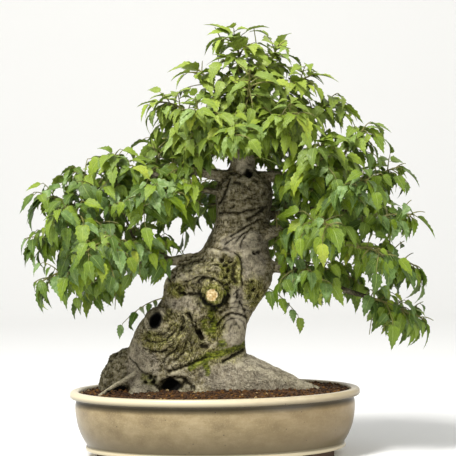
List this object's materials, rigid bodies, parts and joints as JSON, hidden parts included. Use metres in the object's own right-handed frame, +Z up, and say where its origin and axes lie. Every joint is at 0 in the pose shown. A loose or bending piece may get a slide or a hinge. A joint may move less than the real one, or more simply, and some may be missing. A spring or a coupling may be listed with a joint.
{
  "type": "chinese hackberry bonsai",
  "caption": "Old hackberry bonsai with a burled leaning trunk, spreading toothed foliage and surface roots, in an oval glazed pot with soil.",
  "frame": {"origin": "under the middle of the whole plant and pot, at the level that the feet stand on", "axes": "+Z up; -Y towards the side that the picture shows; +X to its right, along the pot"},
  "size_m": [0.6196, 0.3662, 0.651],
  "materials": {
    "glazed_stoneware": "satin",
    "soil": "matte",
    "bark": "matte",
    "leaves": "satin",
    "screen": "matte"
  },
  "bodies": {
    "root": {"pot": "glazed_stoneware", "drain_screen_left": "screen", "drain_screen_right": "screen", "soil": "soil", "trunk_and_branches": "bark", "spray_left_01": "leaves", "spray_left_02": "leaves", "spray_left_03": "leaves", "spray_left_04": "leaves", "spray_left_05": "leaves", "spray_left_06": "leaves", "spray_left_07": "leaves", "spray_left_08": "leaves", "spray_left_09": "leaves", "spray_left_10": "leaves", "spray_left_11": "leaves", "spray_left_12": "leaves", "spray_left_13": "leaves", "spray_left_14": "leaves", "spray_left_15": "leaves", "spray_top_01": "leaves", "spray_top_02": "leaves", "spray_top_03": "leaves", "spray_top_04": "leaves", "spray_top_05": "leaves", "spray_top_06": "leaves", "spray_top_07": "leaves", "spray_top_08": "leaves", "spray_top_09": "leaves", "spray_top_10": "leaves", "spray_top_11": "leaves", "spray_top_12": "leaves", "spray_top_13": "leaves", "spray_right_01": "leaves", "spray_right_02": "leaves", "spray_right_03": "leaves", "spray_right_04": "leaves", "spray_right_05": "leaves", "spray_right_06": "leaves", "spray_right_07": "leaves", "spray_right_08": "leaves", "spray_right_09": "leaves", "spray_right_10": "leaves", "spray_right_11": "leaves", "spray_right_12": "leaves", "spray_right_13": "leaves", "spray_right_14": "leaves", "spray_back_01": "leaves", "spray_back_02": "leaves"}
  },
  "joints": []
}
